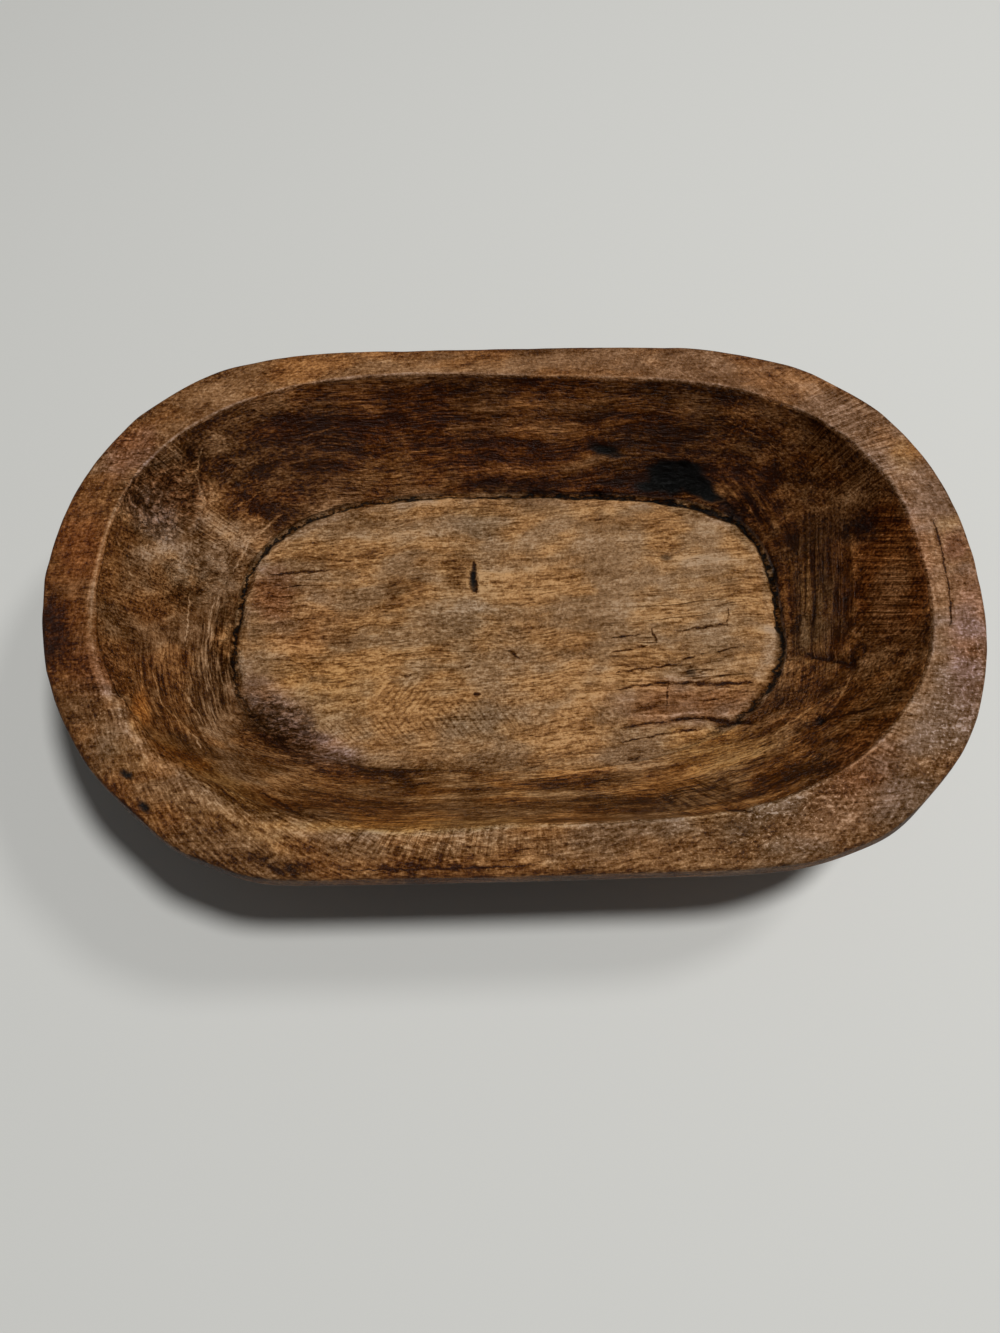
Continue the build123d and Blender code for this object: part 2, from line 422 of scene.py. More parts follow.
# Outline: hewn by eye, so it wavers inwards, mostly at the back left and at the front
WAVER_AT_MOST = 0.6
rim_place = np.zeros(surface.shape[:2])
rim_place[zone == RIM] = (np.arange(RIM_ROWS) / (RIM_ROWS - 1))[:, None]
rim_place[zone == EDGE] = 1
waver = np.clip(0.5 * lumps(19, 48, outer) + 0.3 * lumps(7, 49, outer), 0, WAVER_AT_MOST)
waver = waver * by_bearing(0.0, 0.1, 0.7, 1.0, 0.1, 0.6, 0.6, 0.2)
waver_fade = rim_place ** 3
waver_fade[zone == HULL] = level ** 2
outwards = outer * np.array([1, 1, 0])
outwards = outwards / np.linalg.norm(outwards, axis=1, keepdims=True)

# Outside: every place belongs to its nearest adze blow, and each blow leaves a shallow hollow
BLOWS, BLOW_REACH, BLOW_DEPTH = 170, 15.0, 0.9
hull = surface[zone == HULL]
blow_row, blow_column = np.random.default_rng(31).uniform(0, 1, (2, BLOWS))
blows = hull[(blow_row * HULL_ROWS).astype(int), (blow_column * AROUND).astype(int)]
nearest_blow = np.min(np.linalg.norm(hull[:, :, None] - blows, axis=-1), axis=-1)
blow_fade = soft_step(level, 0.0, 0.12) * soft_step(1.02 - level, 0.0, 0.2)
carve[zone == HULL] -= BLOW_DEPTH * np.clip(1 - (nearest_blow / BLOW_REACH) ** 2, 0, 1) * blow_fade

# The carved surface as one closed mesh, with a fan of triangles at the middle of the floor and of the foot
shape = surface + carve[..., None] * facing(surface) - (waver * waver_fade)[..., None] * outwards
ring_count = len(shape)
points = np.concatenate((shape.reshape(-1, 3), [shape[0].mean(axis=0)], [[0, 0, 0]])) * MM
row, column = np.meshgrid(np.arange(ring_count - 1), np.arange(AROUND), indexing="ij")
ahead = (column + 1) % AROUND
here, below = row * AROUND, (row + 1) * AROUND
quads = np.stack((here + column, below + column, below + ahead, here + ahead), axis=-1).reshape(-1, 4)
spoke = np.arange(AROUND)
floor_pole, foot_pole = ring_count * AROUND, ring_count * AROUND + 1
last_ring = (ring_count - 1) * AROUND
floor_fan = np.column_stack((np.full(AROUND, floor_pole), spoke, (spoke + 1) % AROUND))
foot_fan = np.column_stack((last_ring + spoke, np.full(AROUND, foot_pole), last_ring + (spoke + 1) % AROUND))

mesh = bpy.data.meshes.new("carved_bowl_wood")
mesh.from_pydata(points, [], quads.tolist() + floor_fan.tolist() + foot_fan.tolist())
mesh.polygons.foreach_set("use_smooth", np.ones(len(mesh.polygons), bool))
bowl = bpy.data.objects.new("carved_bowl_wood", mesh)
bpy.context.collection.objects.link(bowl)

# Stains, wear, painted shade and painted highlights, written on the surface for its material. Tone is a place
# on the wood's scale of colours, from burnt at 0 to bare pale wood at 1; the others say where the wood is
# golden, grey, reddish or black with soot, and where a painted sheen greys the rim.


def record(name, values, kind="FLOAT", key="value"):
    """Store one value or vector for every point of the surface, and the nearest ring's mean at both poles."""
    values = np.array(np.broadcast_to(values, surface.shape if kind == "FLOAT_VECTOR" else surface.shape[:2]))
    ends = np.stack((values[0].mean(axis=0), values[-1].mean(axis=0)))
    mesh.attributes.new(name, kind, "POINT").data.foreach_set(
        key, np.concatenate((values.reshape(-1, *values.shape[2:]), ends)).astype(np.float32).ravel())


wall_foot_tone = by_bearing(0.30, 0.30, 0.33, 0.27, 0.52, 0.46, 0.59, 0.52)
wall_top_tone = by_bearing(0.41, 0.43, 0.36, 0.32, 0.46, 0.45, 0.45, 0.46)
rim_tone = by_bearing(0.64, 0.58, 0.58, 0.64, 0.42, 0.49, 0.61, 0.50)
FLOOR_TONE, HULL_TONE, FOOT_TONE, EDGE_SHADE_DARKER = 0.76, 0.40, 0.46, 0.08
FRONT_PASSES = 120
wall_tone = wall_foot_tone + climb * (wall_top_tone - wall_foot_tone)
tone = FLOOR_TONE * only(FLOOR, SCORE) + wall_tone * only(WALL, LIP)
tone += (rim_tone - wall_top_tone) * soft_step(climb, 0.985, 1.0) * only(LIP)
# The rounded outer edge of the rim is painted a little darker, as shade
tone += rim_tone * only(RIM) + (rim_tone - EDGE_SHADE_DARKER) * only(EDGE)
tone += HULL_TONE * only(HULL) + FOOT_TONE * only(FOOT)
tone = soften(tone, at_front, FRONT_PASSES)

# Tone follows the relief: ridges are made paler and hollows darker
HOLLOW_DARKER, RIDGE_PALER, FULL_RELIEF, WEAR_PASSES = 0.16, 0.12, 0.3, 10
smoothed = soften(soften(carve, 0.5, WEAR_PASSES).T, 0.5, WEAR_PASSES).T
tone += np.clip(HOLLOW_DARKER * (carve - smoothed) / FULL_RELIEF, -HOLLOW_DARKER, RIDGE_PALER) * inside

# The lip's crest is a pale line, partly rubbed wood and partly a painted highlight, with painted shade under
# it and along the rim's outer edge
LIP_LINE_ROWS, LIP_LINE_PALE = 2.4, 0.26
lip_row = np.arange(LIP_ROWS)[:, None] - LIP_ROWS / 2
lip_line = np.zeros(surface.shape[:2])
rubbed_and_lit = by_bearing(0.6, 0.4, 0.25, 0.5, 0.35, 0.2, 0.7, 1.0, 1.0, 0.5, 0.5, 1.0, 1.0, 0.6, 0.8, 0.9)
lip_line[zone == LIP] = np.exp(-(lip_row / LIP_LINE_ROWS) ** 2) * rubbed_and_lit
tone += LIP_LINE_PALE * lip_line * np.clip(0.6 + 0.9 * lumps(5, 45) + 0.5 * lumps(2, 46), 0, 1.2)
# Painted shade on the wall just under the lip's crest, turned to a paler band at the front
shade_under_lip = by_bearing(0.10, 0.05, 0.0, 0.0, 0.04, 0.10, -0.12, 0.04)
tone -= shade_under_lip * only(WALL, LIP) * soft_step(climb, 0.84, 0.93) * soft_step(1 - climb, 0.0, 0.03)
# Painted shade darkening the rim towards its outer edge
edge_shade = by_bearing(0.03, 0.10, 0.16, 0.12, 0.06, 0.08, 0.12, 0.06)
tone -= edge_shade * soft_step(rim_place + 0.15 * lumps(6, 47), 0.65, 1.0)
# Painted shade where the floor meets the wall along the back
FOOT_SHADE_WIDTH = 3.0
foot_shade = by_bearing(0.02, 0.12, 0.15, 0.13, 0.04, 0.0, 0.0, 0.0) * only(FLOOR, SCORE, WALL)
tone -= foot_shade * np.exp(-((from_wall + 0.8 * lumps(6, 50)) / FOOT_SHADE_WIDTH) ** 2)
# The top of the lip is paler, partly wear and partly a painted highlight
lip_wear_and_highlight = by_bearing(0.05, 0.10, 0.06, 0.05, 0.14, 0.10, 0.12, 0.05)
tone += lip_wear_and_highlight * only(LIP) * soft_step(climb, 0.93, 0.99) * (1 + 0.8 * lumps(4, 43))

# Stains and pale places on the floor, then on the walls, then on the rim
tone += marks([
    (320, 598, 80, 44, 0, -0.06), (397, 586, 10, 18, 5, -0.26), (417, 588, 9, 17, 5, -0.26),
    (462, 572, 12, 25, 0, -0.28), (345, 642, 18, 10, 0, -0.22), (440, 647, 13, 8, 0, -0.24),
    (336, 621, 10, 6, 0, -0.16), (436, 622, 15, 9, 0, -0.13), (470, 636, 22, 18, 0, -0.05),
    (485, 726, 44, 20, 0, -0.10), (268, 714, 36, 18, 50, -0.20), (318, 752, 52, 14, 22, -0.20),
    (400, 778, 50, 10, 8, -0.14), (690, 704, 75, 24, -2, -0.12), (722, 749, 28, 15, 0, 0.08),
    (770, 629, 6, 5, 0, 0.30), (497, 575, 17, 5, -4, 0.09), (300, 565, 30, 9, -5, -0.10),
    (276, 594, 24, 22, 0, -0.20), (300, 612, 22, 10, 0, -0.12), (480, 522, 26, 16, 0, -0.08),
    (700, 530, 36, 12, 20, 0.06), (688, 506, 22, 8, 8, -0.10), (742, 533, 24, 9, 52, -0.10),
    (769, 574, 7, 26, 0, -0.10), (690, 610, 76, 60, 0, 0.07), (350, 690, 50, 26, 0, 0.03),
    (420, 545, 60, 20, 0, 0.04),
])
tone += marks([
    # The dark smear at (500, 484) on the back wall is partly stain and partly a painted cast shadow
    (396, 458, 62, 26, -8, 0.12), (500, 484, 62, 13, 0, -0.13), (676, 479, 40, 20, 0, -0.20),
    (606, 452, 26, 11, 20, -0.18), (612, 482, 34, 14, 0, -0.12), (667, 431, 28, 22, 0, -0.15),
    (690, 412, 60, 22, 5, 0.06), (200, 552, 62, 46, 0, 0.25), (165, 500, 40, 36, 0, 0.22),
    (232, 470, 26, 40, 20, -0.05), (310, 450, 60, 40, -20, -0.06), (175, 650, 30, 44, 0, -0.04),
    (853, 530, 20, 14, 0, -0.06), (826, 684, 30, 22, -25, -0.12), (895, 575, 34, 60, 0, 0.07),
    (738, 430, 60, 26, 25, 0.05), (770, 470, 40, 30, 40, -0.06), (720, 755, 74, 26, -10, 0.17),
    (790, 705, 18, 30, 30, 0.08), (360, 790, 90, 16, 4, -0.02), (450, 785, 80, 14, 0, 0.06),
    (770, 775, 28, 22, 0, -0.16), (860, 760, 40, 26, -40, -0.05), (815, 600, 28, 70, 0, -0.02),
])
tone += marks([
    # The pale golden line along the front lip at (415, 824) and the pale place at (141, 711) are partly
    # painted highlights
    (54, 628, 18, 40, 0, -0.30), (92, 668, 26, 20, 50, -0.10), (122, 753, 28, 18, 38, 0.10),
    (141, 711, 10, 24, 0, 0.20), (140, 448, 40, 18, -45, -0.02), (112, 500, 20, 30, 30, -0.02),
    (288, 863, 56, 9, 8, -0.24), (432, 867, 110, 4, 0, -0.20), (700, 850, 80, 8, -4, -0.10),
    (951, 520, 19, 8, -15, 0.12), (905, 455, 16, 16, 0, 0.10), (958, 543, 13, 14, 0, -0.14),
    (973, 652, 8, 11, 0, -0.14), (210, 815, 50, 12, 28, 0.06), (180, 830, 40, 8, 30, -0.10),
    (330, 850, 26, 12, 0, -0.08), (440, 842, 70, 9, 0, 0.10), (415, 824, 135, 7, 0, 0.24),
    (78, 540, 18, 36, 0, 0.05), (830, 388, 50, 14, 28, 0.05), (690, 838, 60, 10, -4, -0.05),
    (400, 360, 34, 8, 0, 0.07), (740, 364, 30, 9, 8, 0.06), (820, 387, 30, 12, 28, 0.07),
    (966, 620, 14, 34, 0, 0.07), (922, 752, 24, 16, -50, 0.09), (870, 797, 26, 14, -38, 0.05),
    (505, 848, 28, 9, 0, -0.13), (218, 822, 26, 12, 25, -0.10), (155, 778, 24, 14, 38, 0.05),
    (68, 590, 14, 24, 0, 0.09), (98, 484, 16, 22, 35, 0.07),
])
record("tone", tone)

# Casts of colour: golden, greyed, purplish and reddish wood, a painted sheen of grey and purple on the rim,
# and the soot of the burnt places
# Golden places on the lip at (141, 711), (205, 770), (225, 782) and (410, 824) are partly painted highlights
gold = marks([
    (396, 458, 64, 30, -8, 0.5), (722, 749, 60, 20, -8, 0.8), (740, 790, 110, 26, -12, 0.25),
    (141, 711, 10, 24, 0, 1.0), (951, 520, 19, 8, -15, 0.8), (905, 455, 16, 16, 0, 0.8),
    (205, 770, 80, 10, 33, 0.8), (225, 782, 62, 10, 26, 0.5), (410, 824, 135, 9, 0, 1.0),
    (480, 790, 200, 30, 0, 0.3), (240, 820, 70, 18, 25, 0.4), (320, 690, 60, 40, 0, 0.3),
    (420, 660, 80, 60, 0, 0.15),
])
gold = gold + 0.2 * only(FLOOR) + by_bearing(0.4, 0.3, 0.4, 0.3, 0.0, 0.1, 0.2, 0.25) * only(WALL)
gold = gold + by_bearing(0.0, 0.1, 0.3, 0.6, 0.2, 0.2, 0.2, 0.0) * only(RIM, EDGE)
record("gold", np.clip(gold, 0, 1))
# Painted sheen: grey on the rim by bearing, where the wax reflects the light
rim_painted_sheen = by_bearing(1.0, 0.2, 0.1, 0.1, 0.0, 0.2, 0.3, 1.0) * only(RIM, EDGE, LIP)
olive = marks([
    (165, 490, 44, 40, 0, 0.6), (120, 470, 40, 50, -40, 0.3), (270, 770, 60, 30, 20, 0.4),
    (688, 506, 22, 8, 8, 0.8), (742, 533, 24, 9, 52, 0.8), (769, 574, 7, 26, 0, 0.8),
    (200, 552, 62, 48, 0, 0.55), (122, 753, 28, 18, 38, 0.8), (277, 712, 40, 24, 40, 0.8),
    (320, 750, 44, 16, 22, 0.8), (485, 726, 44, 20, 0, 0.6), (470, 600, 34, 60, 0, 0.4),
    (480, 522, 26, 16, 0, 0.6), (300, 605, 26, 18, 0, 0.5), (812, 600, 28, 72, 0, 0.5),
    (232, 470, 26, 40, 20, 0.3), (690, 620, 60, 50, 0, 0.25),
])
# The pale line on the lip's crest is greyed too, as painted sheen
olive = olive + 0.8 * lip_line * only(LIP) + rim_painted_sheen + 0.20 * only(FLOOR, SCORE)
record("olive", np.clip(olive, 0, 1))
plum = marks([
    (272, 592, 22, 26, 0, 0.7), (277, 712, 40, 24, 40, 0.9), (320, 750, 44, 16, 22, 0.9),
    (165, 497, 40, 36, 0, 0.6), (130, 450, 34, 18, -45, 0.8), (690, 704, 75, 24, -2, 0.6),
    (958, 543, 13, 14, 0, 0.8), (850, 800, 70, 40, -35, 0.3), (970, 640, 20, 70, 0, 0.6),
    (92, 668, 30, 24, 50, 0.6),
])
# Purple on the rim by bearing is partly painted sheen
plum = plum + by_bearing(0.4, 0.3, 0.2, 0.3, 0.2, 0.0, 0.0, 0.2) * only(LIP, RIM, EDGE)
record("plum", np.clip(plum, 0, 1))
# The reddish place at (141, 711) is partly a painted highlight
red = marks([
    (78, 545, 22, 40, 0, 0.6), (141, 711, 10, 24, 0, 0.6), (60, 620, 26, 44, 0, 0.3),
    (895, 575, 36, 66, 0, 0.9), (150, 650, 30, 60, 0, 0.1), (330, 450, 60, 40, 0, 0.1),
    (860, 760, 44, 30, -40, 0.5), (440, 440, 70, 40, 0, 0.2), (300, 620, 40, 40, 0, 0.3),
    (812, 600, 28, 72, 0, -0.4),
])
red = red + by_bearing(0.5, 0.35, 0.5, 0.4, 0.1, 0.15, 0.15, 0.2) * only(WALL)
red = red + by_bearing(0.2, 0.2, 0.2, 0.15, 0.15, 0.2, 0.2, 0.0) * only(RIM, EDGE, LIP)
record("red", np.clip(red, 0, 1))
soot = marks([
    (664, 471, 18, 9, -10, 1.2), (690, 472, 16, 10, 10, 1.2), (678, 483, 32, 10, 2, 1.3),
    (704, 491, 20, 8, 24, 1.1), (650, 487, 16, 5, -6, 1.0), (612, 484, 22, 6, -4, 0.5),
    # The soot at (500, 488) is partly a painted cast shadow on the back wall
    (500, 488, 46, 5, 0, 0.45), (606, 452, 20, 6, 20, 1.0), (853, 525, 13, 3, 4, 0.4),
    (846, 538, 12, 3, -4, 0.35), (50, 630, 15, 34, 0, 0.40), (474, 577, 4, 15, 3, 1.0),
    (818, 720, 6, 5, 0, 0.8), (118, 691, 6, 7, 0, 0.4), (132, 711, 6, 6, 0, 0.4),
    (126, 774, 8, 5, 30, 1.0), (144, 806, 8, 5, 30, 1.0), (692, 673, 7, 5, 0, 0.6),
    (666, 557, 7, 4, 0, 0.7), (288, 866, 44, 5, 8, 0.3), (722, 505, 30, 7, 36, 0.5),
    (776, 690, 10, 14, 20, 0.4),
])
record("soot", np.clip(soot, 0, 1))
record("torn", torn)

# Where fine lines from a toothed tool, the gouge's chatter and hairline cracks show
comb = np.clip(marks([
    (160, 462, 48, 22, -40, 0.8), (850, 445, 56, 50, 45, 0.9), (895, 580, 36, 90, 0, 0.2),
    (694, 795, 40, 20, 0, 0.9), (208, 528, 30, 26, 0, 0.9), (430, 842, 130, 16, 0, 0.7),
    (830, 382, 70, 18, 25, 0.5), (680, 362, 80, 12, 0, 0.4), (130, 590, 36, 60, 0, 0.5),
    (880, 710, 50, 50, -40, 0.6),
]), 0, 1)
chatter_fall = np.clip(marks([
    (364, 732, 52, 18, 0, 1.0), (476, 722, 60, 24, 0, 1.0), (670, 590, 40, 14, 0, 0.4),
]), 0, 1)
chatter_rise = np.clip(marks([(408, 698, 34, 24, 0, 1.0), (640, 570, 24, 14, 0, 0.5)]), 0, 1)
record("comb", comb)
record("chatter_fall", chatter_fall)
record("chatter_rise", chatter_rise)
crazed = marks([
    (690, 660, 80, 70, 0, 1.0), (300, 575, 50, 24, 0, 0.7), (430, 690, 90, 50, 0, 0.3),
    (700, 768, 130, 40, -6, 0.6),
])
crazed = crazed + 0.25 * only(FLOOR) + 0.4 * only(WALL) + 0.3 * only(RIM, HULL)
record("crazed", np.clip(crazed, 0, 1))

# Tool marks that go round the bowl: along the rim, on the lower wall at both ends
rounding = marks([(185, 690, 66, 70, 0, 0.9), (815, 600, 36, 80, 0, 0.2), (250, 780, 60, 30, 30, 0.6)])
rounding = rounding + by_bearing(0.4, 0.5, 0.3, 0.5, 0.5, 0.9, 0.7, 0.5) * only(RIM, EDGE, LIP)
rounding = np.clip(rounding, 0, 1)
record("rounding", rounding)

# How much of the long grain shows: all of it on the floor, little where the tool's own lines cover it
covered = np.maximum.reduce([0.7 * rounding, striated, upright, 0.8 * sideways, 0.9 * comb,
                             0.6 * chatter_fall, 0.6 * chatter_rise])
rim_grain = by_bearing(0.6, 0.9, 1.1, 1.0, 0.5, 1.0, 1.2, 0.9)
record("long_grain", (1 - covered) * (1 + (rim_grain - 1) * only(RIM, EDGE, LIP)))

# How strongly the wood is streaked, how rough its nap is, and how short its fibres show
blotchy_wall = by_bearing(1.35, 1.25, 1.30, 1.15, 1.05, 1.10, 1.30, 1.15) * only(WALL)
blotchy_rim = by_bearing(0.5, 0.7, 0.7, 0.7, 0.6, 0.8, 0.9, 0.7) * only(RIM, EDGE, LIP)
record("blotchy", 0.55 * only(FLOOR, SCORE) + 1.0 * only(HULL, FOOT) + blotchy_wall + blotchy_rim)
smooth_tool = 1 - 0.6 * np.maximum(striated, upright)
nap_wall = by_bearing(1.3, 1.2, 1.1, 1.4, 1.1, 1.2, 1.3, 1.4) * smooth_tool * only(WALL)
nap_floor = by_bearing(0.5, 0.4, 0.8, 1.0, 1.1, 1.1, 1.1, 0.8) * only(FLOOR, SCORE)
nap_rim = by_bearing(1.0, 0.8, 0.4, 1.4, 1.0, 1.5, 1.6, 1.4) * only(RIM, EDGE, LIP)
record("nap", nap_wall + nap_floor + 0.8 * only(HULL, FOOT) + nap_rim)
record("short", 0.5 * only(WALL, HULL) + 1.0 * only(FLOOR, SCORE, LIP, RIM, EDGE, FOOT))
record("striated", striated)
record("upright", upright)
record("sideways", sideways)
record("pitted", 0.5 * only(RIM, EDGE, LIP) + 0.35 * only(FLOOR, SCORE) + 0.3 * only(WALL, HULL, FOOT))
# Painted glints: pale specks where the wax catches the light
painted_glint_places = marks([
    (450, 838, 60, 12, 0, 0.9), (790, 815, 70, 26, -25, 1.0), (960, 690, 24, 90, 15, 0.8),
    (110, 690, 30, 50, 20, 0.5), (130, 470, 40, 60, 35, 0.4), (700, 500, 60, 20, 25, 0.4),
    (290, 600, 30, 30, 0, 0.5), (330, 760, 60, 20, 15, 0.4),
])
painted_glint_places = painted_glint_places + by_bearing(0.3, 0.2, 0.15, 0.25, 0.15, 0.25, 0.35, 0.4) * only(RIM, LIP)
record("painted_glint_places", np.clip(painted_glint_places, 0, 1))
LEDGE_REACH = 20
record("ledge", np.clip(from_wall, -LEDGE_REACH, LEDGE_REACH))
record("groove", groove_strength * only(FLOOR, SCORE, WALL))
record("polish", 1.0 * only(LIP, RIM) + 0.5 * only(FLOOR, SCORE) - 3.0 * only(EDGE, HULL, FOOT))

# Places in the photograph for single cracks, and the bowl unwrapped without a seam for marks that follow it
OUT_OF_SIGHT = 100.0
hidden = np.broadcast_to(OUT_OF_SIGHT * (1 - inside), seen.shape[:2])
record("sight", np.concatenate((seen, hidden[..., None]), axis=-1), "FLOAT_VECTOR", "vector")
record("unwrapped", unwrapped * MM, "FLOAT_VECTOR", "vector")

# The wood: a dark oiled wood with its grain along the bowl, waxed to a satin sheen. Fibres, streaks and
# pores run through the solid, so they show as long lines on the floor and as end grain at both ends.
wood = bpy.data.materials.new("waxed_wood")
wood.use_nodes = True
tree = wood.node_tree
shader = tree.nodes["Principled BSDF"]


def add(kind, *feeds, where=None, **settings):
    """New node of one kind: settings are its properties, and each feed is linked or written to an input."""
    made = (where or tree).nodes.new("ShaderNode" + kind)
    for name, value in settings.items():
        setattr(made, name, value)
    for socket, feed in zip(made.inputs, feeds):
        if isinstance(feed, bpy.types.NodeSocket):
            (where or tree).links.new(feed, socket)
        elif feed is not None:
            socket.default_value = feed
    return made


def math(operation, *feeds, where=None):
    """Output of one arithmetic step."""
    return add("Math", *feeds, where=where, operation=operation).outputs[0]


def vector(operation, *feeds, output="Vector", where=None):
    """Output of one vector step."""
    return add("VectorMath", *feeds, where=where, operation=operation).outputs[output]


def ramp(value, low, high, to_low=0.0, to_high=1.0):
    """Value moved from one range to another, smoothly and held at the ends."""
    made = add("MapRange", value, low, high, to_low, to_high, interpolation_type="SMOOTHSTEP", clamp=False)
    return made.outputs[0]


def noise(place, scale, detail=3.0, roughness=0.55, output="Fac"):
    """Noise, 0 to 1, on the given coordinates, with so many steps to the metre or the pixel."""
    made = add("TexNoise", place)
    made.inputs["Scale"].default_value = scale
    made.inputs["Detail"].default_value = detail
    made.inputs["Roughness"].default_value = roughness
    return made.outputs[output]


def drawn_out(place, steps, detail, roughness):
    """Grey noise with its own number of steps in each direction, so that it makes lines."""
    return noise(vector("MULTIPLY", place, steps), 1.0, detail, roughness)


def attribute(name, output="Fac"):
    """Value that the surface carries under this name."""
    return add("Attribute", attribute_name=name).outputs[output]


def tint(factor, base, colour, blend="MIX"):
    """Base colour blended with another one by a factor."""
    made = add("Mix", data_type="RGBA", blend_type=blend)
    for socket, feed in ((made.inputs[0], factor), (made.inputs[6], base), (made.inputs[7], colour)):
        if isinstance(feed, bpy.types.NodeSocket):
            tree.links.new(feed, socket)
        else:
            socket.default_value = feed
    return made.outputs[2]


def times(value, amount):
    """Product of two values."""
    return math("MULTIPLY", value, amount)


def swing(value, amount):
    """Noise about its middle, times an amount."""
    return times(math("SUBTRACT", value, 0.5), amount)


def total_of(*terms):
    """Sum of many terms."""
    total = terms[0]
    for term in terms[1:]:
        total = math("ADD", total, term)
    return total


# Grain: coordinates turned a little, bent by slow waves, then stretched along the bowl for each kind of line
GRAIN_TURN, GRAIN_BEND, MIDDLE = np.radians(-5), (0.0, 0.007, 0.007), (0.5, 0.5, 0.5)
place = add("TexCoord").outputs["Object"]
turned = add("VectorRotate", rotation_type="Z_AXIS")
tree.links.new(place, turned.inputs["Vector"])
turned.inputs["Angle"].default_value = GRAIN_TURN
waves = noise(turned.outputs[0], 26.0, 3.0, 0.5, output="Color")
bend = vector("MULTIPLY", vector("SUBTRACT", waves, MIDDLE), GRAIN_BEND)
grain = vector("ADD", turned.outputs[0], bend)
drawn = vector("MULTIPLY", grain, add("CombineXYZ", attribute("short"), 1.0, 1.0).outputs[0])
fibre = ramp(drawn_out(drawn, (180, 1150, 1150), 3.0, 0.70), 0.46, 0.64)
streak = drawn_out(drawn, (24, 150, 150), 5.0, 0.62)
mottle = drawn_out(grain, (60, 95, 95), 7.0, 0.68)
hue = noise(vector("MULTIPLY", grain, (40, 70, 70)), 1.2, 2.5, 0.55)
nap = drawn_out(drawn, (600, 1500, 1500), 2.0, 0.65)
grit = noise(place, 1300.0, 3.0, 0.7)
dimple = ramp(noise(place, 330.0, 6.0, 0.72), 0.38, 0.62)
pits = times(math("SUBTRACT", dimple, 0.5), attribute("pitted"))
pore_line = ramp(drawn_out(grain, (150, 2200, 2200), 1.0, 0.5), 0.60, 0.70)
pore = times(pore_line, ramp(mottle, 0.40, 0.60))
vein = drawn_out(grain, (13, 210, 210), 3.0, 0.55)
vein_middle = ramp(math("ABSOLUTE", math("SUBTRACT", vein, 0.5)), 0.004, 0.020, 1.0, 0.0)
crazed_patch = times(attribute("crazed"), ramp(noise(grain, 85.0, 2.0), 0.42, 0.60))
hairline = times(vein_middle, crazed_patch)

# Marks that follow the bowl round: comb lines down the slope, strokes along the rim and the foot of the wall
around = attribute("unwrapped", "Vector")
comb_lines = ramp(drawn_out(around, (1350, 1350, 70), 2.0, 0.60), 0.38, 0.62)
round_fibre = ramp(drawn_out(around, (75, 75, 950), 4.0, 0.72), 0.36, 0.64)
round_nap = drawn_out(around, (420, 420, 1500), 2.0, 0.65)
round_streak = drawn_out(around, (16, 16, 190), 4.0, 0.6)
striated_here = attribute("striated")
comb_here = attribute("comb")
rounding_here = attribute("rounding")
long_grain = attribute("long_grain")

# Torn grain, and the crumbled black line round the floor, which along the back is partly painted shade in the
# crevice
torn_mask = attribute("torn")
torn_noise = drawn_out(grain, (260, 600, 600), 5.0, 0.68)
pit = times(ramp(torn_noise, 0.44, 0.58), torn_mask)
crumble = math("ADD", swing(torn_noise, 3.6), swing(noise(place, 170.0), 1.8))
from_groove = math("SUBTRACT", math("ADD", attribute("ledge"), crumble), GROOVE_INSET)
groove = attribute("groove")
widths_off = math("DIVIDE", math("ABSOLUTE", from_groove), math("MAXIMUM", groove, 0.01))
groove_dark_and_shade = times(ramp(widths_off, 0.14, 0.55, 0.95, 0.0), ramp(groove, 0.15, 0.70))
groove_halo_dark_and_shade = times(ramp(widths_off, 0.3, 1.8, 1.0, 0.0), ramp(groove, 0.05, 0.60))

# Chatter of the gouge on the floor: slanting ripples in two directions, in radians to the pixel
RIPPLE_X, RIPPLE_Y = 0.864, 0.66
LINE_SHAKE, RIPPLE_SHAKE = (7.0, 7.0, 0.0), (4.0, 4.0, 0.0)
sight = attribute("sight", "Vector")
shake = vector("SUBTRACT", noise(place, 380.0, 3.0, 0.5, output="Color"), MIDDLE)
shaken = vector("ADD", sight, vector("MULTIPLY", shake, LINE_SHAKE))
hatched = vector("ADD", sight, vector("MULTIPLY", shake, RIPPLE_SHAKE))
fall_wave = math("SINE", vector("DOT_PRODUCT", hatched, (RIPPLE_X, -RIPPLE_Y, 0.0), output="Value"))
rise_wave = math("SINE", vector("DOT_PRODUCT", hatched, (RIPPLE_X, RIPPLE_Y, 0.0), output="Value"))
falling = times(fall_wave, attribute("chatter_fall"))
rising = times(rise_wave, attribute("chatter_rise"))
ripples = ramp(math("ADD", falling, rising), 0.1, 0.9)
chatter = times(ripples, ramp(mottle, 0.36, 0.55))

# Straight tool lines at the right-hand end, in the photograph's plane
SIDEWAYS_LINES, UPRIGHT_LINES = (0.016, 0.30, 0.0), (0.22, 0.012, 0.0)
sideways_lines = ramp(drawn_out(sight, SIDEWAYS_LINES, 3.0, 0.62), 0.36, 0.64)
upright_lines = ramp(drawn_out(sight, UPRIGHT_LINES, 4.0, 0.66), 0.38, 0.62)
sideways_here = times(math("SUBTRACT", sideways_lines, 0.5), attribute("sideways"))
upright_here = times(math("SUBTRACT", upright_lines, 0.42), attribute("upright"))
straight_lines = math("ADD", sideways_here, upright_here)

